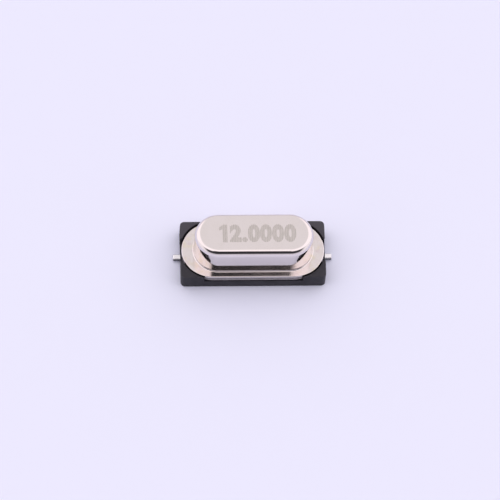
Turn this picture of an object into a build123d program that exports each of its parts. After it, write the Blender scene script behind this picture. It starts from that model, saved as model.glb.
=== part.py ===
"""Surface-mount quartz crystal resonator: a welded metal can on a moulded insulator tray.

Frame: millimetres, origin on the seating plane under the middle of the tray, X along the
two leads, Y across the can, Z up. The tray's underside and the flat leads lie on Z = 0.
"""

import os

from build123d import *

# Driving dimensions: insulator tray
TRAY_LENGTH = 11.3
TRAY_WIDTH = 4.9
TRAY_CORNER_R = 0.35
TRAY_EDGE_R = 0.12
SEAT_Z = 0.85  # top of the tray floor, where the header rests
POST_TOP_Z = 1.5  # top of the four corner posts
POST_CLEARANCE = 0.14  # gap between the flange and the posts
POST_MIN_X = 3.85  # the posts are cut square where they would thin to a knife edge
POST_MIN_Y = 1.0

# Driving dimensions: can and header
FLANGE_LENGTH = 11.16
FLANGE_WIDTH = 4.8
FLANGE_SHEET = 0.3  # the header's and the cap's flanges are each this thick
RIM_R = 0.07  # rounding of the flange's outer edge
CAN_LENGTH = 9.3
CAN_WIDTH = 3.76
CAN_TOP_Z = 4.2
CAN_SHEET = 0.25
CAN_TOP_R = 0.45  # drawn radius round the top of the can
COVE_R = 0.12  # outer radius where the wall turns into the flange
COVE_INNER_R = 0.34
CAVITY_TOP_R = 0.15
BOSS_LENGTH = 8.5
BOSS_WIDTH = 3.0
BOSS_TOP_Z = 1.7
BOSS_EDGE_R = 0.12

# Driving dimensions: leads and seals
LEAD_PITCH = 4.88
LEAD_DIAMETER = 0.43
LEAD_BEND_R = 0.3  # of the wire's centre line
LEAD_TIP_X = 6.2
FLAT_START_X = 3.5  # the wire is pressed flat from here to its tip
FLAT_WIDTH = 0.52
FLAT_THICKNESS = 0.34
FLAT_EDGE_R = 0.14
PRESS_LENGTH = 0.4  # over which the round wire turns into the flat
NAIL_HEAD_DIAMETER = 0.8
NAIL_HEAD_THICKNESS = 0.15
LEAD_TOP_Z = 2.0
SEAL_DIAMETER = 1.3
TRAY_HOLE_DIAMETER = 0.6
GROOVE_WIDTH = 0.72
GROOVE_DEPTH = 0.46

# Driving dimensions: resonator inside the can
BLANK_LENGTH = 7.8
BLANK_WIDTH = 1.8
BLANK_THICKNESS = 0.138  # an AT-cut blank for 12 MHz
BLANK_BEVEL = 0.04
BLANK_BOTTOM_Z = 2.76
FILM_THICKNESS = 0.02
FILM_LENGTH = 3.6
FILM_WIDTH = 1.3
FILM_CORNER_R = 0.35
TAB_WIDTH = 0.6
TAB_END_X = 3.75
CLIP_SHEET = 0.1
CLIP_WIDTH = 0.7
CLIP_FOOT_X = 2.08
CLIP_RISE_X = 2.92
CLIP_SHELF_X = 3.3
CLIP_STOP_X = 4.12
CLIP_STOP_Z = 3.0
CLIP_BEND_R = 0.12
BOND_THICKNESS = 0.05  # of the bed of adhesive under the blank
BOND_INNER_X = 3.4
BOND_WIDTH = 0.6
BOND_CROWN = 0.12  # height of the dot above the blank
BOND_EDGE_R = 0.07

# Levels and places that follow from them
WELD_Z = SEAT_Z + FLANGE_SHEET  # the header's flange meets the cap's flange here
FLANGE_TOP_Z = WELD_Z + FLANGE_SHEET
LEAD_X = LEAD_PITCH / 2
LEAD_R = LEAD_DIAMETER / 2
ROUND_END_X = FLAT_START_X - PRESS_LENGTH
BLANK_TOP_Z = BLANK_BOTTOM_Z + BLANK_THICKNESS
SHELF_TOP_Z = BLANK_BOTTOM_Z - BOND_THICKNESS
TINY = 0.001
SIDES = {"left": -1, "right": 1}


def upright(profile, bottom, top):
    """A straight solid with the given outline in plan."""
    return extrude(Pos(0, 0, bottom) * profile, amount=top - bottom)


def oval(length, width, bottom, top):
    """An upright solid with straight sides and semicircular ends."""
    return upright(SlotOverall(length, width), bottom, top)


def slab(x_low, x_high, width, bottom, top):
    """A square-edged block centred on the X axis."""
    outline = Pos((x_low + x_high) / 2, 0) * Rectangle(x_high - x_low, width)
    return upright(outline, bottom, top)


def wall_edges(solid, z, width):
    """The edges at height z that lie on an oval of the given width."""
    found = solid.edges().filter_by_position(Axis.Z, z - TINY, z + TINY)
    return [edge for edge in found if abs(abs((edge @ 0).Y) - width / 2) < TINY]


def on_side(solid, side):
    """A solid made for the right-hand end, turned half a turn for the left-hand one."""
    return solid if side > 0 else solid.rotate(Axis.Z, 180)


def make_metal_cap():
    """Drawn can with a turned-out flange, open underneath."""
    wall = oval(CAN_LENGTH, CAN_WIDTH, WELD_Z, CAN_TOP_Z)
    wall = fillet(wall_edges(wall, CAN_TOP_Z, CAN_WIDTH), CAN_TOP_R)
    flange = oval(FLANGE_LENGTH, FLANGE_WIDTH, WELD_Z, FLANGE_TOP_Z)
    flange = fillet(wall_edges(flange, FLANGE_TOP_Z, FLANGE_WIDTH), RIM_R)
    cap = wall + flange
    cap = fillet(wall_edges(cap, FLANGE_TOP_Z, CAN_WIDTH), COVE_R)
    inner_width = CAN_WIDTH - 2 * CAN_SHEET
    roof_z = CAN_TOP_Z - CAN_SHEET
    cavity = oval(CAN_LENGTH - 2 * CAN_SHEET, inner_width, WELD_Z, roof_z)
    cavity = fillet(wall_edges(cavity, roof_z, inner_width), CAVITY_TOP_R)
    cap = cap - cavity
    return fillet(wall_edges(cap, WELD_Z, inner_width), COVE_INNER_R)


def make_header_base():
    """Pressed base that closes the can: a flange, a raised boss and two seal holes."""
    flange = oval(FLANGE_LENGTH, FLANGE_WIDTH, SEAT_Z, WELD_Z)
    flange = fillet(wall_edges(flange, SEAT_Z, FLANGE_WIDTH), RIM_R)
    boss = oval(BOSS_LENGTH, BOSS_WIDTH, SEAT_Z, BOSS_TOP_Z)
    boss = fillet(wall_edges(boss, BOSS_TOP_Z, BOSS_WIDTH), BOSS_EDGE_R)
    holes = [
        Pos(side * LEAD_X, 0) * upright(Circle(SEAL_DIAMETER / 2), 0, CAN_TOP_Z)
        for side in SIDES.values()
    ]
    return flange + boss - holes


def make_glass_seal(side):
    """Ring of fused glass between the header and a lead."""
    ring = Circle(SEAL_DIAMETER / 2) - Circle(LEAD_R)
    return Pos(side * LEAD_X, 0) * upright(ring, SEAT_Z, BOSS_TOP_Z)


def make_lead(side):
    """Round wire with a nail head, bent outwards under the tray and pressed flat to its tip."""
    path = FilletPolyline(
        (LEAD_X, 0, LEAD_TOP_Z),
        (LEAD_X, 0, LEAD_R),
        (ROUND_END_X, 0, LEAD_R),
        radius=LEAD_BEND_R,
    )
    wire = sweep(Plane(path @ 0, z_dir=path % 0) * Circle(LEAD_R), path=path)
    head = Pos(LEAD_X, 0) * upright(
        Circle(NAIL_HEAD_DIAMETER / 2), LEAD_TOP_Z - NAIL_HEAD_THICKNESS, LEAD_TOP_Z
    )
    round_end = Plane((ROUND_END_X, 0, LEAD_R), x_dir=(0, 1, 0), z_dir=(1, 0, 0)) * Circle(LEAD_R)
    flat_plane = Plane((FLAT_START_X, 0, FLAT_THICKNESS / 2), x_dir=(0, 1, 0), z_dir=(1, 0, 0))
    flat_end = flat_plane * RectangleRounded(FLAT_WIDTH, FLAT_THICKNESS, FLAT_EDGE_R)
    press = loft([round_end, flat_end])
    flat = extrude(flat_end, amount=LEAD_TIP_X - FLAT_START_X)
    return on_side(wire + head + press + flat, side)


def make_spring_clip(side):
    """Thin strip welded to the nail head, with a shelf and an end stop for the blank."""
    half = CLIP_SHEET / 2
    path = FilletPolyline(
        (CLIP_FOOT_X, 0, LEAD_TOP_Z + half),
        (CLIP_RISE_X, 0, LEAD_TOP_Z + half),
        (CLIP_SHELF_X, 0, SHELF_TOP_Z - half),
        (CLIP_STOP_X + half, 0, SHELF_TOP_Z - half),
        (CLIP_STOP_X + half, 0, CLIP_STOP_Z),
        radius=CLIP_BEND_R,
    )
    start = Plane(path @ 0, x_dir=(0, 1, 0), z_dir=path % 0)
    strip = sweep(start * Rectangle(CLIP_WIDTH, CLIP_SHEET), path=path)
    return on_side(strip, side)


def make_quartz_blank():
    """Thin rectangular quartz plate with bevelled long edges."""
    outline = Rectangle(BLANK_LENGTH, BLANK_WIDTH)
    blank = upright(outline, BLANK_BOTTOM_Z, BLANK_TOP_Z)
    long_edges = blank.edges().filter_by(Axis.X)
    return chamfer(long_edges, BLANK_BEVEL)


def make_electrode(bottom, side):
    """Silver film on one face of the blank, with a tab towards one clip."""
    pad = RectangleRounded(FILM_LENGTH, FILM_WIDTH, FILM_CORNER_R)
    tab = Pos(side * TAB_END_X / 2, 0) * Rectangle(TAB_END_X, TAB_WIDTH)
    return upright(pad + tab, bottom, bottom + FILM_THICKNESS)


def make_bond(side, neighbours):
    """Dot of conductive adhesive that wraps one end of the blank and fills up to the clip."""
    top = BLANK_TOP_Z + BOND_CROWN
    dot = slab(BOND_INNER_X, CLIP_STOP_X, BOND_WIDTH, SHELF_TOP_Z, top)
    dot = fillet(dot.edges().group_by(Axis.Z)[-1], BOND_EDGE_R)
    return on_side(dot, side) - neighbours


def make_insulator_tray():
    """Moulded tray: floor, four corner posts round the flange, lead holes and grooves."""
    outline = RectangleRounded(TRAY_LENGTH, TRAY_WIDTH, TRAY_CORNER_R)
    tray = upright(outline, 0, POST_TOP_Z)
    tray = fillet(tray.edges().group_by(Axis.Z)[-1], TRAY_EDGE_R)
    gap = 2 * POST_CLEARANCE
    tray -= oval(FLANGE_LENGTH + gap, FLANGE_WIDTH + gap, SEAT_Z, CAN_TOP_Z)
    tray -= slab(-POST_MIN_X, POST_MIN_X, 2 * TRAY_WIDTH, SEAT_Z, CAN_TOP_Z)
    tray -= slab(-TRAY_LENGTH, TRAY_LENGTH, 2 * POST_MIN_Y, SEAT_Z, CAN_TOP_Z)
    for side in SIDES.values():
        hole = Pos(LEAD_X, 0) * upright(Circle(TRAY_HOLE_DIAMETER / 2), 0, SEAT_Z)
        groove = slab(LEAD_X, TRAY_LENGTH, GROOVE_WIDTH, 0, GROOVE_DEPTH)
        groove += Pos(LEAD_X, 0) * upright(Circle(GROOVE_WIDTH / 2), 0, GROOVE_DEPTH)
        tray -= on_side(hole + groove, side)
    return tray


def make_all():
    """Every sub-part by its node name."""
    blank = make_quartz_blank()
    film_top = make_electrode(BLANK_TOP_Z, SIDES["left"])
    film_bottom = make_electrode(BLANK_BOTTOM_Z - FILM_THICKNESS, SIDES["right"])
    nodes = {
        "insulator_tray": make_insulator_tray(),
        "header_base": make_header_base(),
        "metal_cap": make_metal_cap(),
        "quartz_blank": blank,
        "electrode_top": film_top,
        "electrode_bottom": film_bottom,
    }
    for name, side in SIDES.items():
        clip = make_spring_clip(side)
        nodes[f"lead_{name}"] = make_lead(side)
        nodes[f"glass_seal_{name}"] = make_glass_seal(side)
        nodes[f"spring_clip_{name}"] = clip
        nodes[f"adhesive_{name}"] = make_bond(side, [blank, film_top, film_bottom, clip])
    return nodes


os.makedirs("parts", exist_ok=True)
for node, solid in make_all().items():
    export_step(solid, f"parts/{node}.step")
    print(node, "volume", round(solid.volume, 3), "mm3")
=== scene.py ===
import math

import bmesh
import bpy
from mathutils import Matrix, Vector


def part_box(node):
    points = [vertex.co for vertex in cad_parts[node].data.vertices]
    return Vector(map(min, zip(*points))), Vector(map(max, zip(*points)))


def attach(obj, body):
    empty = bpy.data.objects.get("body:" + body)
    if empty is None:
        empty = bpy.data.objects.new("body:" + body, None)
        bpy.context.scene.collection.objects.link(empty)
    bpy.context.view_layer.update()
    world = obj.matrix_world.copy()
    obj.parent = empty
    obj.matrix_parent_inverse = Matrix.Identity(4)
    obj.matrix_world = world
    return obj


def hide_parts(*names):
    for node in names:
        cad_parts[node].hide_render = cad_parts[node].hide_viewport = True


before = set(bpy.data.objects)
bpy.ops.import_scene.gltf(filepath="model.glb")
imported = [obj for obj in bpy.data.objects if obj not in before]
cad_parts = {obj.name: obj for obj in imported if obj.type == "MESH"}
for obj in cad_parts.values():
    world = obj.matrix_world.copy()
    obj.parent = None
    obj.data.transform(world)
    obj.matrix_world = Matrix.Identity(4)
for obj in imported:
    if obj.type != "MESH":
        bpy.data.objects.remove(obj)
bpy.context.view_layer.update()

MM = 0.001
BODY = "root"

# ---------------------------------------------------------------- sizes from the frame

cap_low, cap_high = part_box("metal_cap")
header_low, header_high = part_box("header_base")
tray_low, tray_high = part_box("insulator_tray")
lead_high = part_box("lead_right")[1]
seal_low, seal_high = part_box("glass_seal_right")

CAN_TOP = cap_high[2]
WELD = cap_low[2]
SEAT = header_low[2]
FLANGE_R = cap_high[1]
FLANGE_RUN = cap_high[0] - FLANGE_R  # half the straight stretch between the round ends
SEAL_X = (seal_low[0] + seal_high[0]) / 2
SEAL_R = (seal_high[0] - seal_low[0]) / 2
BOSS_TOP = header_high[2]
POST_TOP = tray_high[2]
TRAY_X, TRAY_Y = tray_high[0], tray_high[1]
LEAD_TIP = lead_high[0]
LEAD_TOP = lead_high[2]

# Sizes that the boxes don't give
CAN_R = 1.88 * MM
CAN_RUN = 2.77 * MM
CAN_DRAFT = 0.03 * MM  # how much the wall leans in from its foot to its top
CAN_SHEET = 0.25 * MM
CAN_EDGE_R = 0.5 * MM
COVE_R = 0.1 * MM
INNER_BEND_R = 0.34 * MM
ROOF_EDGE_R = 0.15 * MM
FLANGE_SHEET = 0.3 * MM
RIM_R = 0.07 * MM
SEAM_R = 0.06 * MM  # softened edges where the two flanges meet
HOLD = 0.02 * MM  # how near a bend the flat beside it is held true
BOSS_RUN = 2.75 * MM
BOSS_R = 1.5 * MM
BOSS_EDGE_R = 0.12 * MM
TRAY_CORNER_R = 0.35 * MM
POST_GAP = 0.14 * MM
POST_MIN_X = 3.85 * MM
POST_MIN_Y = 1.0 * MM
MOULD_EDGE_R = 0.07 * MM
TRAY_HOLE_R = 0.3 * MM
GROOVE_WIDTH = 0.72 * MM
GROOVE_DEPTH = 0.46 * MM
WIRE_R = 0.215 * MM
WIRE_BEND_R = 0.3 * MM
FLAT_START = 3.5 * MM
PRESS_LENGTH = 0.4 * MM
FLAT_WIDTH = 0.52 * MM
FLAT_THICKNESS = 0.34 * MM
FLAT_EDGE_R = 0.165 * MM
HEAD_R = 0.4 * MM
HEAD_THICKNESS = 0.15 * MM
SOFT_EDGE = 0.04 * MM  # rounding of a lead's tip and of its head
PRESS_STEPS = 8
WIRE_BEND_STEPS = 12
MENISCUS = 0.09 * MM  # how far the glass dips between the header and the wire
MENISCUS_STEPS = 12
DIGIT_HEIGHT = 1.55 * MM
MARK_WIDTH = 6.0 * MM
MARK_SHIFT = 0.25 * MM
MARK_SKIN = 0.003 * MM
MARK_SINK = 0.0002 * MM  # keeps the skin's top just under the box
# Outline of the figure one, across in em and up in shares of the digits' height
FIGURE_ONE = (
    (-0.36, 0), (-0.14, 0), (-0.14, 1), (-0.32, 1), (-0.52, 0.82), (-0.52, 0.66), (-0.36, 0.74),
)

# ---------------------------------------------------------------- node trees

# A Mix node's two colours and its mixed colour, by place among its sockets
MIX_FIRST, MIX_SECOND, MIX_RESULT = 6, 7, 2


class Value:
    """A number socket: an expression on it adds the Math nodes that work it out."""

    def __init__(self, board, socket):
        self.board = board
        self.socket = socket

    def maths(self, operation, *terms):
        node = self.board.add("ShaderNodeMath", {"operation": operation}, dict(enumerate(terms)))
        return Value(self.board, node.outputs[0])

    def __add__(self, other):
        return self.maths("ADD", self, other)

    def __sub__(self, other):
        return self.maths("SUBTRACT", self, other)

    def __rsub__(self, other):
        return self.maths("SUBTRACT", other, self)

    def __mul__(self, other):
        return self.maths("MULTIPLY", self, other)

    def __truediv__(self, other):
        return self.maths("DIVIDE", self, other)

    def __neg__(self):
        return self.maths("MULTIPLY", self, -1.0)

    __radd__ = __add__
    __rmul__ = __mul__

    def floor(self):
        return self.maths("FLOOR", self)

    def rounded(self):
        return self.maths("ROUND", self)

    def at_least(self, other):
        return self.maths("MAXIMUM", self, other)

    def absolute(self):
        return self.maths("ABSOLUTE", self)

    def sine(self):
        return self.maths("SINE", self)

    def cosine(self):
        return self.maths("COSINE", self)

    def ramp(self, low, high):
        """0 below low, 1 above high, and a smooth step between."""
        node = self.board.add(
            "ShaderNodeMapRange",
            {"interpolation_type": "SMOOTHSTEP"},
            {"Value": self, "From Min": low, "From Max": high},
        )
        return Value(self.board, node.outputs[0])


class Board:
    """A node tree under construction."""

    def __init__(self, tree):
        self.tree = tree
        tree.nodes.clear()

    def add(self, kind, settings=None, sockets=None):
        """Any node: its type, its settings, and the values or links of its sockets."""
        node = self.tree.nodes.new(kind)
        for name, value in (settings or {}).items():
            if name == "stops":
                self.set_stops(node.color_ramp, value)
            else:
                setattr(node, name, value)
        for name, value in (sockets or {}).items():
            self.plug(node.inputs[name], value)
        return node

    def plug(self, socket, value):
        if isinstance(value, Value):
            value = value.socket
        if isinstance(value, bpy.types.NodeSocket):
            self.tree.links.new(value, socket)
        else:
            socket.default_value = value

    @staticmethod
    def set_stops(ramp, stops):
        while len(ramp.elements) < len(stops):
            ramp.elements.new(0.5)
        for element, (place, colour) in zip(ramp.elements, stops):
            element.position = place
            element.color = (*colour, 1.0)

    def value(self, socket):
        return Value(self, socket)

    def mix(self, share, first, second):
        """A colour between two, by a share from 0 to 1."""
        first, second = ((*c, 1.0) if isinstance(c, tuple) else c for c in (first, second))
        sockets = {"Factor": share, MIX_FIRST: first, MIX_SECOND: second}
        return self.add("ShaderNodeMix", {"data_type": "RGBA"}, sockets).outputs[MIX_RESULT]

    def place(self, stretch=(1.0, 1.0, 1.0)):
        """Object coordinates, stretched along the axes."""
        spot = self.add("ShaderNodeTexCoord").outputs["Object"]
        return self.add("ShaderNodeMapping", None, {"Vector": spot, "Scale": stretch}).outputs[0]

    def axes(self, vector):
        split = self.add("ShaderNodeSeparateXYZ", None, {"Vector": vector})
        return [self.value(out) for out in split.outputs]

    def noise(self, grain, detail=2.0, stretch=(1.0, 1.0, 1.0)):
        """Noise from 0 to 1 whose features are about grain metres across."""
        sockets = {"Vector": self.place(stretch), "Scale": 1.0 / grain, "Detail": detail}
        return self.value(self.add("ShaderNodeTexNoise", None, sockets).outputs["Fac"])

    def bump(self, height, depth, normal=None):
        """A normal from a height of 0 to 1 that stands for depth metres."""
        sockets = {"Height": height, "Distance": depth, "Strength": 1.0}
        if normal:
            sockets["Normal"] = normal
        return self.add("ShaderNodeBump", None, sockets).outputs[0]


def material(name, build, **constants):
    """A material with one Principled shader, whose changing sockets build(board) returns."""
    made = bpy.data.materials.new(name)
    made.use_nodes = True
    board = Board(made.node_tree)
    shader = board.add("ShaderNodeBsdfPrincipled", None, {**constants, **build(board)})
    board.add("ShaderNodeOutputMaterial", None, {"Surface": shader.outputs[0]})
    return made


# ---------------------------------------------------------------- finishes


def plated(tone, warm, roughness):
    """Nickel plate over drawn steel: faint draw lines, soft mottling and a fine grain."""

    def build(board):
        mottle = board.noise(0.9 * MM, detail=4.0)
        grain = board.noise(0.03 * MM, detail=3.0)
        lines = board.noise(0.05 * MM, detail=3.0, stretch=(0.06, 1.0, 1.0))
        wave = board.noise(1.1 * MM, detail=1.0)
        colour = board.mix(mottle.ramp(0.35, 0.75), tone, warm)
        bump = board.bump(wave, 1.5e-6)
        bump = board.bump(lines, 0.25e-6, bump)
        bump = board.bump(grain, 0.25e-6, bump)
        return {
            "Base Color": colour,
            "Roughness": roughness + 0.03 * mottle.ramp(0.3, 0.7) + 0.02 * grain,
            "Normal": bump,
        }

    return build


def welded_plate(board):
    """The cap's plate: straw and rose heat tints by the weld, and a rougher flange rim painted
    darker as painted shade.
    """
    sockets = plated((0.80, 0.745, 0.73), (0.785, 0.73, 0.71), 0.05)(board)
    x, y, z = board.axes(board.place())
    low = 1.0 - z.ramp(WELD + FLANGE_SHEET, WELD + 5 * FLANGE_SHEET)
    ends = x.absolute().ramp(CAN_RUN, CAN_RUN + 1.6 * MM)
    patch = board.noise(0.7 * MM, detail=3.0).ramp(0.42, 0.68)
    straw = (0.78, 0.71, 0.60)
    rose = (0.74, 0.65, 0.65)
    tint = board.mix(board.noise(0.45 * MM).ramp(0.4, 0.6), straw, rose)
    colour = board.mix(low * (0.25 + 0.75 * ends) * patch, sockets["Base Color"], tint)
    # Painted shade: the flange's rim, up to 0.24 mm over the weld, is painted darker, and it is
    # also made rougher.
    shaded_rough_rim = 1.0 - z.ramp(WELD + 0.16 * MM, WELD + 0.24 * MM)
    sockets["Base Color"] = board.mix(shaded_rough_rim * 0.8, colour, (0.24, 0.225, 0.23))
    foot = 1.0 - z.ramp(WELD + FLANGE_SHEET, WELD + FLANGE_SHEET + COVE_R)
    sockets["Roughness"] = sockets["Roughness"] + 0.04 * foot + 0.15 * shaded_rough_rim
    return sockets


def moulded_black(board):
    """Glass-filled moulding: near black, with a fine grain, pale fibres, and post tops painted
    lighter as painted light, less at the front as painted shade.
    """
    grain = board.noise(0.06 * MM, detail=4.0)
    cloud = board.noise(0.8 * MM, detail=3.0)
    fibre = board.noise(0.05 * MM, detail=1.0, stretch=(0.25, 1.0, 1.0)).ramp(0.68, 0.78)
    x, y, z = board.axes(board.place())
    # Painted light: the post tops are lighter, and only 30% so at the front, as painted shade from
    # the can.
    painted_top_light = z.ramp(POST_TOP - 0.1 * MM, POST_TOP - 0.03 * MM)
    painted_top_light = painted_top_light * (0.3 + 0.7 * y.ramp(-1.5 * MM, 1.5 * MM))
    colour = board.mix(cloud.ramp(0.35, 0.7), (0.016, 0.015, 0.020), (0.026, 0.024, 0.031))
    colour = board.mix(painted_top_light, colour, (0.055, 0.051, 0.062))
    colour = board.mix(fibre * 0.35, colour, (0.10, 0.098, 0.11))
    return {
        "Base Color": colour,
        "Roughness": 0.46 + 0.16 * grain,
        "Normal": board.bump(grain, 6e-6),
    }


def tinned(board):
    """Bright tin plate with soft streaks along the wire, rougher low on its pressed sides, which
    are painted dark as painted shade.
    """
    streak = board.noise(0.06 * MM, detail=3.0, stretch=(0.15, 1.0, 1.0))
    dull = board.noise(0.5 * MM, detail=3.0).ramp(0.4, 0.7)
    x, y, z = board.axes(board.place())
    bright = board.mix(dull, (0.86, 0.86, 0.87), (0.76, 0.75, 0.76))
    # Painted shade: a band 0.02 to 0.31 mm up each lead is painted near black, and it is also made
    # rougher.
    low = (1.0 - z.ramp(0.24 * MM, 0.31 * MM)) * z.ramp(0.02 * MM, 0.06 * MM)
    return {
        "Base Color": board.mix(low * 0.9, bright, (0.07, 0.07, 0.085)),
        "Roughness": 0.14 + 0.12 * dull + 0.08 * streak + 0.3 * low,
        "Normal": board.bump(streak, 1.2e-6),
    }


def etched(board):
    """Laser-marked metal: dull straw-grey with close upright hatch lines."""
    x, y, z = board.axes(board.place())
    wobble = board.noise(0.25 * MM, detail=2.0)
    hatch = (x * (2 * math.pi / (0.13 * MM)) + wobble * 2.0).sine() * 0.5 + 0.5
    fade = board.noise(0.35 * MM, detail=3.0).ramp(0.25, 0.75)
    colour = board.mix(hatch * 0.55, (0.52, 0.49, 0.455), (0.66, 0.62, 0.59))
    colour = board.mix(fade * 0.35, colour, (0.68, 0.63, 0.605))
    return {
        "Base Color": colour,
        "Roughness": 0.24 + 0.12 * hatch,
        "Normal": board.bump(hatch, 1.5e-6),
    }


def fused_glass(board):
    bubbles = board.noise(0.04 * MM, detail=2.0).ramp(0.66, 0.74)
    tint = board.noise(0.5 * MM).ramp(0.3, 0.7)
    colour = board.mix(tint, (0.055, 0.085, 0.085), (0.085, 0.12, 0.11))
    return {
        "Base Color": board.mix(bubbles * 0.6, colour, (0.30, 0.34, 0.33)),
        "Roughness": 0.08 + 0.1 * bubbles,
        "Normal": board.bump(bubbles, 2e-6),
    }


def lapped_quartz(board):
    lap = board.noise(0.02 * MM, detail=4.0)
    return {
        "Base Color": board.mix(lap.ramp(0.3, 0.8), (0.84, 0.88, 0.90), (0.93, 0.95, 0.96)),
        "Roughness": 0.22 + 0.2 * lap,
        "Normal": board.bump(lap, 0.6e-6),
    }


def silver_film(board):
    haze = board.noise(0.6 * MM, detail=3.0)
    return {
        "Base Color": board.mix(haze.ramp(0.3, 0.8), (0.90, 0.89, 0.86), (0.80, 0.78, 0.73)),
        "Roughness": 0.12 + 0.18 * haze,
        "Normal": board.bump(board.noise(0.03 * MM), 0.4e-6),
    }


def spring_strip(board):
    rolled = board.noise(0.03 * MM, detail=3.0, stretch=(0.08, 1.0, 1.0))
    return {
        "Base Color": board.mix(rolled, (0.56, 0.55, 0.53), (0.70, 0.68, 0.66)),
        "Roughness": 0.24 + 0.14 * rolled,
        "Normal": board.bump(rolled, 0.8e-6),
    }


def silver_paste(board):
    flake = board.noise(0.03 * MM, detail=4.0)
    return {
        "Base Color": board.mix(flake.ramp(0.3, 0.7), (0.42, 0.41, 0.39), (0.66, 0.65, 0.62)),
        "Roughness": 0.5 + 0.2 * flake,
        "Metallic": 0.3 + 0.4 * flake,
        "Normal": board.bump(flake, 5e-6),
    }


def studio_floor(board):
    soft = board.noise(6.0 * MM, detail=2.0)
    return {"Base Color": board.mix(soft, (0.80, 0.812, 0.95), (0.806, 0.816, 0.96))}


CAN_PLATE = material("can_plate", welded_plate, Metallic=1.0)
# The header's plate is painted dark grey, far darker than nickel, as painted shade under the cap's
# flange.
HEADER_PLATE_PAINTED_DARK = material(
    "header_plate", plated((0.36, 0.335, 0.33), (0.28, 0.255, 0.25), 0.26), Metallic=1.0
)
TIN = material("lead_tin", tinned, Metallic=1.0)
BLACK = material("tray_moulding", moulded_black, **{"Specular IOR Level": 0.3})
ETCH = material("etched_mark", etched, Metallic=1.0)
GLASS = material("seal_glass", fused_glass, IOR=1.52)
QUARTZ = material("lapped_quartz", lapped_quartz, IOR=1.54)
SILVER = material("silver_film", silver_film, Metallic=1.0)
STRIP = material("spring_strip", spring_strip, Metallic=1.0)
PASTE = material("silver_paste", silver_paste)
FLOOR = material("studio_floor", studio_floor, Roughness=0.9)

# ---------------------------------------------------------------- mesh helpers


def add_object(name, mesh):
    piece = bpy.data.objects.new(name, mesh)
    bpy.context.scene.collection.objects.link(piece)
    return piece


def settle(piece):
    """Turns a piece with modifiers into a plain mesh, with outward normals and no doubles."""
    evaluated = piece.evaluated_get(bpy.context.evaluated_depsgraph_get())
    mesh = bpy.data.meshes.new_from_object(evaluated)
    piece.modifiers.clear()
    old = piece.data
    piece.data = mesh
    mesh.name = piece.name
    bpy.data.meshes.remove(old)
    work = bmesh.new()
    work.from_mesh(mesh)
    bmesh.ops.remove_doubles(work, verts=work.verts, dist=1e-7)
    bmesh.ops.recalc_face_normals(work, faces=work.faces)
    work.to_mesh(mesh)
    work.free()
    return piece


def shade(piece, finish, sharp_angle=35.0):
    """Smooth shading with edges sharper than the angle kept crisp, in one finish."""
    mesh = piece.data
    mesh.materials.clear()
    mesh.materials.append(finish)
    mesh.shade_smooth()
    mesh.set_sharp_from_angle(angle=math.radians(sharp_angle))
    return piece


def finish_piece(piece, slot, *nodes):
    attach(piece, BODY)
    if nodes:
        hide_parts(*nodes)
    return piece


def arc(centre, radius, start, stop, steps):
    """Points round an arc, from one angle to another in degrees, both ends included."""
    turn = [math.radians(start + (stop - start) * i / steps) for i in range(steps + 1)]
    return [(centre[0] + radius * math.cos(a), centre[1] + radius * math.sin(a)) for a in turn]


def rounded_box(half_x, half_y, radius, steps=12):
    """Outline of a rectangle with round corners, anticlockwise."""
    corners = ((1, 1, 0), (-1, 1, 90), (-1, -1, 180), (1, -1, 270))
    outline = []
    for sx, sy, start in corners:
        centre = (sx * (half_x - radius), sy * (half_y - radius))
        outline += arc(centre, radius, start, start + 90, steps)
    return outline


def join_rings(work, low, high):
    """Quads between two closed rings of as many vertices."""
    for i, vertex in enumerate(low):
        j = (i + 1) % len(low)
        work.faces.new((vertex, low[j], high[j], high[i]))


def prism(name, outline, bottom, top):
    """An upright solid with that outline."""
    work = bmesh.new()
    low = [work.verts.new((x, y, bottom)) for x, y in outline]
    high = [work.verts.new((x, y, top)) for x, y in outline]
    work.faces.new(low[::-1])
    work.faces.new(high)
    join_rings(work, low, high)
    mesh = bpy.data.meshes.new(name)
    work.to_mesh(mesh)
    work.free()
    return add_object(name, mesh)


def cut(piece, *cutters):
    """Takes the cutters out of the piece, then deletes them."""
    for cutter in cutters:
        tool = piece.modifiers.new("cut", "BOOLEAN")
        tool.solver = "EXACT"
        tool.operation = "DIFFERENCE"
        tool.object = cutter
    settle(piece)
    for cutter in cutters:
        mesh = cutter.data
        bpy.data.objects.remove(cutter)
        bpy.data.meshes.remove(mesh)
    return piece


# ---------------------------------------------------------------- oval shells


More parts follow.
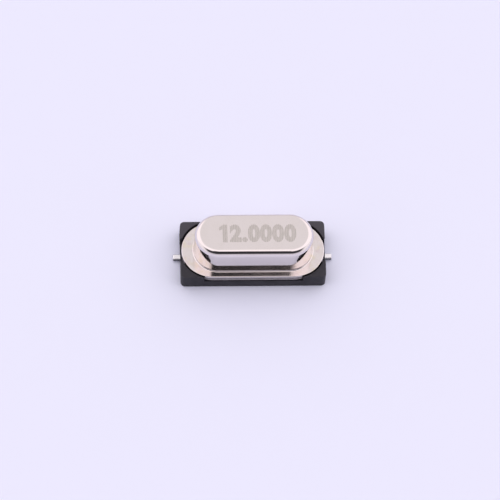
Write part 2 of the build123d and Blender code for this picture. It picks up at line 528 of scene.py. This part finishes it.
def oval_tree():
    """Geometry Nodes that carry a profile round an oval.

    Each point of the input mesh is one ring: X is half the ring's straight run, Y is the
    radius of its ends and Z is its height.
    """
    tree = bpy.data.node_groups.new("oval_shell", "GeometryNodeTree")
    board = Board(tree)
    socket = tree.interface.new_socket
    socket(name="Profile", in_out="INPUT", socket_type="NodeSocketGeometry")
    steps = socket(name="Steps per end", in_out="INPUT", socket_type="NodeSocketInt")
    finish = socket(name="Finish", in_out="INPUT", socket_type="NodeSocketMaterial")
    socket(name="Shell", in_out="OUTPUT", socket_type="NodeSocketGeometry")

    inlet = board.add("NodeGroupInput")
    profile = inlet.outputs["Profile"]
    per_end = board.value(inlet.outputs["Steps per end"])
    size = board.add("GeometryNodeAttributeDomainSize", None, {"Geometry": profile})
    rings = board.value(size.outputs["Point Count"])
    columns = (per_end + 1.0) * 2.0 + 1.0
    grid = board.add(
        "GeometryNodeMeshGrid",
        None,
        {
            "Size X": rings - 1.0,
            "Size Y": columns - 1.0,
            "Vertices X": rings,
            "Vertices Y": columns,
        },
    )
    across, along, _ = board.axes(board.add("GeometryNodeInputPosition").outputs[0])
    ring = (across + (rings - 1.0) * 0.5).rounded()
    column = (along + (columns - 1.0) * 0.5).rounded()
    sample = board.add(
        "GeometryNodeSampleIndex",
        {"data_type": "FLOAT_VECTOR", "domain": "POINT"},
        {
            "Geometry": profile,
            "Value": board.add("GeometryNodeInputPosition").outputs[0],
            "Index": ring,
        },
    )
    run, radius, height = board.axes(sample.outputs[0])
    half = (column / (per_end + 1.0) + 0.0001).floor()
    step = column - half * (per_end + 1.0)
    angle = (step / per_end + half - 0.5) * math.pi
    end = (half * math.pi).cosine()
    spot = board.add(
        "ShaderNodeCombineXYZ",
        None,
        {"X": end * run + radius * angle.cosine(), "Y": radius * angle.sine(), "Z": height},
    )
    shaped = board.add(
        "GeometryNodeSetPosition", None, {"Geometry": grid.outputs[0], "Position": spot.outputs[0]}
    )
    closed = board.add(
        "GeometryNodeMergeByDistance", None, {"Geometry": shaped.outputs[0], "Distance": 1e-7}
    )
    real = board.add("GeometryNodeRealizeInstances", None, {"Geometry": closed.outputs[0]})
    painted = board.add(
        "GeometryNodeSetMaterial",
        None,
        {"Geometry": real.outputs[0], "Material": inlet.outputs["Finish"]},
    )
    board.add("NodeGroupOutput", None, {0: painted.outputs[0]})
    return tree, steps.identifier, finish.identifier


OVAL_TREE, STEPS_KEY, FINISH_KEY = oval_tree()


def oval_shell(name, profile, finish, steps=48):
    """A closed shell of oval rings: profile lists (half run, end radius, height)."""
    mesh = bpy.data.meshes.new(name)
    edges = [(i, i + 1) for i in range(len(profile) - 1)]
    mesh.from_pydata(profile, edges, [])
    piece = add_object(name, mesh)
    shell = piece.modifiers.new("oval shell", "NODES")
    shell.node_group = OVAL_TREE
    shell[STEPS_KEY] = steps
    shell[FINISH_KEY] = finish
    return settle(piece)


def bend(run, centre, radius, start, stop, steps=10):
    """Rings round a bend: the arc lies in the plane of end radius and height."""
    return [(run, r, z) for r, z in arc(centre, radius, start, stop, steps)]


def cap_profile():
    """From the middle of the roof, over the wall and the flange, and back up inside."""
    top_r = CAN_R - CAN_DRAFT
    foot_z = WELD + FLANGE_SHEET
    inner_r = CAN_R - CAN_SHEET
    roof = CAN_TOP - CAN_SHEET
    rim = FLANGE_R - RIM_R
    top = CAN_TOP - MARK_SKIN
    flat_r = top_r - CAN_EDGE_R
    outside = [(CAN_RUN, share * flat_r, top) for share in (0.0, 0.5, 0.97)]
    edge_centre = (flat_r, top - CAN_EDGE_R)
    outside += bend(CAN_RUN, edge_centre, CAN_EDGE_R, 90, 0, 24)
    outside += [(CAN_RUN, top_r, edge_centre[1] - HOLD)]
    outside += [(CAN_RUN, CAN_R, foot_z + COVE_R + HOLD)]
    outside += bend(CAN_RUN, (CAN_R + COVE_R, foot_z + COVE_R), COVE_R, 180, 270, 12)
    outside += [(CAN_RUN, CAN_R + COVE_R + HOLD, foot_z), (FLANGE_RUN, rim - HOLD, foot_z)]
    outside += bend(FLANGE_RUN, (rim, foot_z - RIM_R), RIM_R, 90, 0, 10)
    outside += [(FLANGE_RUN, FLANGE_R, foot_z - RIM_R - HOLD / 2)]
    outside += bend(FLANGE_RUN, (FLANGE_R - SEAM_R, WELD + SEAM_R), SEAM_R, 0, -90, 3)
    inside = bend(CAN_RUN, (inner_r + INNER_BEND_R, WELD + INNER_BEND_R), INNER_BEND_R, 270, 180)
    inside += bend(CAN_RUN, (inner_r - ROOF_EDGE_R, roof - ROOF_EDGE_R), ROOF_EDGE_R, 0, 90, 6)
    inside += [(CAN_RUN, 0.0, roof)]
    return outside + inside


def header_profile():
    """From the middle of the underside, round the flange and up over the boss."""
    rim = FLANGE_R - RIM_R
    rings = [(BOSS_RUN, 0.0, SEAT), (FLANGE_RUN, rim - RIM_R, SEAT)]
    rings += bend(FLANGE_RUN, (rim, SEAT + RIM_R), RIM_R, -90, 0, 6)
    rings += bend(FLANGE_RUN, (FLANGE_R - SEAM_R, WELD - SEAM_R), SEAM_R, 0, 90, 3)
    rings += [(BOSS_RUN, BOSS_R + BOSS_EDGE_R, WELD), (BOSS_RUN, BOSS_R, WELD)]
    edge_centre = (BOSS_R - BOSS_EDGE_R, BOSS_TOP - BOSS_EDGE_R)
    rings += bend(BOSS_RUN, edge_centre, BOSS_EDGE_R, 0, 90, 6)
    rings += [(BOSS_RUN, 0.0, BOSS_TOP)]
    return rings


def circle(x, radius, steps=48):
    return arc((x, 0.0), radius, 0, 360 * (steps - 1) / steps, steps - 1)


def make_cap():
    cap = oval_shell("can_shell", cap_profile(), CAN_PLATE)
    shade(cap, CAN_PLATE, 50.0)
    return finish_piece(cap, "can_nickel", "metal_cap")


def make_header():
    header = oval_shell("header_plate", header_profile(), HEADER_PLATE_PAINTED_DARK)
    holes = [
        prism(f"seal_hole_{side}", circle(side * SEAL_X, SEAL_R), SEAT - MM, BOSS_TOP + MM)
        for side in (-1, 1)
    ]
    cut(header, *holes)
    shade(header, HEADER_PLATE_PAINTED_DARK, 50.0)
    return finish_piece(header, "header_steel", "header_base")


# ---------------------------------------------------------------- tray


def make_tray():
    outline = rounded_box(TRAY_X, TRAY_Y, TRAY_CORNER_R)
    tray = prism("moulded_tray", outline, tray_low[2], POST_TOP)
    past = 2 * TRAY_X
    well_r = FLANGE_R + POST_GAP
    well = arc((FLANGE_RUN, 0.0), well_r, -90, 90, 64)
    well += [(-x, -y) for x, y in well]
    above = POST_TOP + MM
    cutters = [
        prism("flange_well", well, SEAT, above),
        prism("side_gap", rounded_box(POST_MIN_X, past, MOULD_EDGE_R, 4), SEAT, above),
        prism("end_gap", rounded_box(past, POST_MIN_Y, MOULD_EDGE_R, 4), SEAT, above),
    ]
    half_groove = GROOVE_WIDTH / 2
    groove = arc((SEAL_X, 0.0), half_groove, 90, 270, 24)
    groove += [(past, -half_groove), (past, half_groove)]
    for side in (-1, 1):
        turned = [(side * x, side * y) for x, y in groove]
        cutters.append(prism(f"groove_{side}", turned, -MM, GROOVE_DEPTH))
        cutters.append(prism(f"hole_{side}", circle(side * SEAL_X, TRAY_HOLE_R), -MM, 2 * MM))
    cut(tray, *cutters)
    work = bmesh.new()
    work.from_mesh(tray.data)
    bmesh.ops.dissolve_limit(
        work, angle_limit=math.radians(0.5), verts=work.verts, edges=work.edges
    )
    work.to_mesh(tray.data)
    work.free()
    edge = tray.modifiers.new("moulded edges", "BEVEL")
    edge.width = MOULD_EDGE_R
    edge.segments = 3
    edge.limit_method = "ANGLE"
    edge.angle_limit = math.radians(40)
    settle(tray)
    shade(tray, BLACK, 35.0)
    return finish_piece(tray, "tray_plastic", "insulator_tray")


# ---------------------------------------------------------------- leads


def wire_rings():
    """Sections of a lead from its tip to its head: (centre, up, width, thickness, edge)."""
    flat_z = FLAT_THICKNESS / 2
    upwards = Vector((0.0, 0.0, 1.0))
    rings = []
    for inset, back in ((0.6, 0.0), (0.25, 0.3), (0.0, 1.0)):
        trim = 2 * SOFT_EDGE * inset
        tip = Vector((LEAD_TIP - back * SOFT_EDGE, 0, flat_z))
        width, thickness = FLAT_WIDTH - trim, FLAT_THICKNESS - trim
        rings.append((tip, upwards, width, thickness, FLAT_EDGE_R - trim / 2))
    press_end = FLAT_START - PRESS_LENGTH
    for i in range(PRESS_STEPS + 1):
        share = i / PRESS_STEPS
        ease = share * share * (3 - 2 * share)
        thickness = FLAT_THICKNESS + (2 * WIRE_R - FLAT_THICKNESS) * ease
        width = FLAT_WIDTH + (2 * WIRE_R - FLAT_WIDTH) * ease
        edge = FLAT_EDGE_R + (WIRE_R - FLAT_EDGE_R) * ease
        x = FLAT_START + (press_end - FLAT_START) * share
        rings.append((Vector((x, 0, thickness / 2)), upwards, width, thickness, edge))
    centre = Vector((SEAL_X + WIRE_BEND_R, 0, WIRE_R + WIRE_BEND_R))
    for i in range(WIRE_BEND_STEPS + 1):
        angle = math.radians(90 * i / WIRE_BEND_STEPS)
        outward = Vector((-math.sin(angle), 0, -math.cos(angle)))
        rings.append(
            (centre + outward * WIRE_BEND_R, -outward, 2 * WIRE_R, 2 * WIRE_R, WIRE_R)
        )
    side = Vector((1.0, 0.0, 0.0))
    head_foot = LEAD_TOP - HEAD_THICKNESS
    levels = (
        (head_foot - SOFT_EDGE, WIRE_R),
        (head_foot, WIRE_R + SOFT_EDGE),
        (head_foot, HEAD_R - SOFT_EDGE),
        (head_foot + SOFT_EDGE, HEAD_R),
        (LEAD_TOP - SOFT_EDGE, HEAD_R),
        (LEAD_TOP, HEAD_R - SOFT_EDGE),
        (LEAD_TOP, HEAD_R * 0.4),
    )
    for z, radius in levels:
        rings.append((Vector((SEAL_X, 0, z)), side, 2 * radius, 2 * radius, radius))
    return rings


def section(width, thickness, edge):
    """Outline of a lead across its length."""
    return rounded_box(width / 2, thickness / 2, min(edge, width / 2, thickness / 2), 7)


def make_lead(name, side):
    """A wire lofted through its rings, closed at both ends."""
    across = Vector((0.0, 1.0, 0.0))
    work = bmesh.new()
    rows = []
    for centre, up, width, thickness, edge in wire_rings():
        row = []
        for u, v in section(width, thickness, edge):
            spot = centre + across * u + up * v
            row.append(work.verts.new((side * spot.x, spot.y, spot.z)))
        rows.append(row)
    for low, high in zip(rows, rows[1:]):
        join_rings(work, low, high)
    work.faces.new(rows[0][::-1])
    work.faces.new(rows[-1])
    bmesh.ops.remove_doubles(work, verts=work.verts, dist=1e-8)
    bmesh.ops.recalc_face_normals(work, faces=work.faces)
    mesh = bpy.data.meshes.new(name)
    work.to_mesh(mesh)
    work.free()
    lead = shade(add_object(name, mesh), TIN, 40.0)
    return finish_piece(lead, "lead_tin", "lead_right" if side > 0 else "lead_left")


def make_seal(name, side):
    """A ring of fused glass whose top dips between the header and the wire that it wets."""
    middle, half = (SEAL_R + WIRE_R) / 2, (SEAL_R - WIRE_R) / 2
    profile = [(WIRE_R, SEAT), (SEAL_R, SEAT)]
    for i in range(MENISCUS_STEPS + 1):
        share = 1 - 2 * i / MENISCUS_STEPS
        profile.append((middle + half * share, BOSS_TOP - MENISCUS * (1 - share * share)))
    work = bmesh.new()
    rows = [
        [work.verts.new((x, y, z)) for x, y in circle(side * SEAL_X, radius)]
        for radius, z in profile
    ]
    for low, high in zip(rows, rows[1:] + rows[:1]):
        join_rings(work, low, high)
    bmesh.ops.recalc_face_normals(work, faces=work.faces)
    mesh = bpy.data.meshes.new(name)
    work.to_mesh(mesh)
    work.free()
    seal = shade(add_object(name, mesh), GLASS, 40.0)
    return finish_piece(seal, "seal_glass", "glass_seal_right" if side > 0 else "glass_seal_left")


# ---------------------------------------------------------------- mark


def make_mark():
    """Plain frequency digits on the roof, a skin a few thousandths of a millimetre thick."""
    text = bpy.data.curves.new("mark_digits", "FONT")
    text.body = "2.0000"
    text.extrude = 0.5
    text.offset = 0.06
    text.space_character = 1.12
    piece = add_object("mark_digits", text)
    mesh = bpy.data.meshes.new_from_object(
        piece.evaluated_get(bpy.context.evaluated_depsgraph_get())
    )
    bpy.data.objects.remove(piece)
    bpy.data.curves.remove(text)
    work = bmesh.new()
    work.from_mesh(mesh)
    tall = max(v.co.y for v in work.verts)
    foot = min(v.co.y for v in work.verts)
    low, high = (
        [work.verts.new((x, foot + y * (tall - foot), level)) for x, y in FIGURE_ONE]
        for level in (-0.5, 0.5)
    )
    work.faces.new(low[::-1])
    work.faces.new(high)
    join_rings(work, low, high)
    xs = [v.co.x for v in work.verts]
    ys = [v.co.y for v in work.verts]
    size = Matrix.Diagonal(
        (MARK_WIDTH / (max(xs) - min(xs)), DIGIT_HEIGHT / (max(ys) - min(ys)), MARK_SKIN, 1.0)
    )
    middle = Matrix.Translation((-(max(xs) + min(xs)) / 2, -(max(ys) + min(ys)) / 2, 0.0))
    place = Matrix.Translation((MARK_SHIFT, 0.0, CAN_TOP - MARK_SKIN / 2 - MARK_SINK))
    bmesh.ops.transform(work, matrix=place @ size @ middle, verts=work.verts)
    bmesh.ops.remove_doubles(work, verts=work.verts, dist=1e-8)
    bmesh.ops.recalc_face_normals(work, faces=work.faces)
    work.to_mesh(mesh)
    work.free()
    mark = add_object("mark_digits", mesh)
    mesh.materials.clear()
    mesh.materials.append(ETCH)
    return finish_piece(mark, "can_nickel")


# ---------------------------------------------------------------- carried-over nodes


def refinish():
    """New finishes for the inner pieces, whose shapes are right as they are."""
    finishes = {
        "spring_clip_left": STRIP, "spring_clip_right": STRIP,
        "quartz_blank": QUARTZ,
        "electrode_top": SILVER, "electrode_bottom": SILVER,
        "adhesive_left": PASTE, "adhesive_right": PASTE,
    }
    for node, finish in finishes.items():
        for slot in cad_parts[node].material_slots:
            slot.link = "OBJECT"
            slot.material = finish


# ---------------------------------------------------------------- studio

FLOOR_HALF = 1.5
FLOOR_DROP = 0.02 * MM
CAMERA_DISTANCE = 450 * MM
FIELD_WIDTH = 39.0 * MM
CAMERA_ELEVATION = 62.4
CAMERA_AZIMUTH = -6.7
CAMERA_ROLL = 5.55
AIM = Vector((0.0, 0.0, 1.5 * MM))
AIM_ASIDE = -0.228 * MM
AIM_RAISE = -0.055 * MM
FILL_STRENGTH = 0.5
FILL_SPREAD = 90.0
FILL_TILT = 5.0
FILL_COLOUR = (0.92, 0.98, 1.0)
# Light that the studio sends from each part of the sky
SKY_BEHIND = (0.905, 0.865, 0.89)
SKY_ABOVE = (1.28, 1.19, 1.24)
ROOM_BEHIND = (0.40, 0.37, 0.40)
ROOM_AHEAD = (0.05, 0.047, 0.055)
ROOM_ASIDE = (1.05, 1.0, 1.06)
TABLE_AHEAD = (0.74, 0.70, 0.80)
CAMERA_DARK = (0.03, 0.03, 0.034)
CAMERA_DARK_EDGE = (11.0, 7.0)  # degrees from the camera where the dark begins and is full



def make_floor():
    corners = ((-1, -1), (1, -1), (1, 1), (-1, 1))
    mesh = bpy.data.meshes.new("studio_floor")
    mesh.from_pydata(
        [(x * FLOOR_HALF, y * FLOOR_HALF, -FLOOR_DROP) for x, y in corners], [], [(0, 1, 2, 3)]
    )
    mesh.materials.append(FLOOR)
    floor = add_object("studio_floor", mesh)


def camera_direction():
    """Unit vector from the object to the camera."""
    elevation, azimuth = math.radians(CAMERA_ELEVATION), math.radians(CAMERA_AZIMUTH)
    level = math.cos(elevation)
    return Vector((level * math.sin(azimuth), -level * math.cos(azimuth), math.sin(elevation)))


def make_sky(camera_way):
    """Soft light from above and behind, dim low down in front and where the camera stands."""
    world = bpy.data.worlds.new("soft_studio")
    world.use_nodes = True
    board = Board(world.node_tree)
    way = board.add("ShaderNodeTexCoord").outputs["Generated"]
    x, y, z = board.axes(way)
    ahead = -y
    aside = x.absolute()

    above = ahead.ramp(-0.35, 0.05).at_least(aside.ramp(0.2, 0.45))
    sky = board.mix(above, SKY_BEHIND, SKY_ABOVE)

    room = board.mix(ahead.ramp(-0.2, 0.4), ROOM_BEHIND, ROOM_AHEAD)
    table = (1.0 - z.ramp(0.3, 0.4)) * ahead.ramp(0.3, 0.6)
    room = board.mix(table, room, TABLE_AHEAD)
    room = board.mix(aside.ramp(0.55, 0.85), room, ROOM_ASIDE)

    sky_foot = (0.42 + 1.1 * ahead).at_least(0.1)
    light = board.mix((z - sky_foot).ramp(-0.07, 0.07), room, sky)

    sockets = {0: way, 1: camera_way}
    facing = board.add("ShaderNodeVectorMath", {"operation": "DOT_PRODUCT"}, sockets)
    begins, full = (math.cos(math.radians(angle)) for angle in CAMERA_DARK_EDGE)
    dark = board.value(facing.outputs["Value"]).ramp(begins, full)
    light = board.mix(dark, light, CAMERA_DARK)

    shine = board.add("ShaderNodeBackground", None, {"Color": light, "Strength": 1.0})
    board.add("ShaderNodeOutputWorld", None, {"Surface": shine.outputs[0]})
    bpy.context.scene.world = world


def make_fill():
    """A very broad light from overhead that the metal doesn't mirror."""
    data = bpy.data.lights.new("broad_fill", "SUN")
    data.energy = FILL_STRENGTH
    data.angle = math.radians(FILL_SPREAD)
    data.color = FILL_COLOUR
    fill = add_object("broad_fill", data)
    fill.rotation_euler = (math.radians(FILL_TILT), 0.0, 0.0)
    fill.visible_glossy = False


def make_camera():
    azimuth, roll = math.radians(CAMERA_AZIMUTH), math.radians(CAMERA_ROLL)
    back = camera_direction()
    right = Vector((math.cos(azimuth), math.sin(azimuth), 0.0))
    up = back.cross(right)
    rolled_right = right * math.cos(roll) + up * math.sin(roll)
    rolled_up = up * math.cos(roll) - right * math.sin(roll)
    data = bpy.data.cameras.new("studio_camera")
    data.lens = data.sensor_width * CAMERA_DISTANCE / FIELD_WIDTH
    data.clip_start = 0.01
    data.clip_end = 10.0
    camera = add_object("studio_camera", data)
    turn = Matrix((rolled_right, rolled_up, back)).transposed().to_4x4()
    target = AIM + rolled_right * AIM_ASIDE + rolled_up * AIM_RAISE
    camera.matrix_world = Matrix.Translation(target + back * CAMERA_DISTANCE) @ turn
    bpy.context.scene.camera = camera


make_cap()
make_header()
make_tray()
make_lead("lead_wire_left", -1)
make_lead("lead_wire_right", 1)
make_seal("glass_ring_left", -1)
make_seal("glass_ring_right", 1)
make_mark()
refinish()
make_floor()
make_camera()
make_sky(camera_direction())
make_fill()
bpy.context.scene.view_settings.view_transform = "Standard"
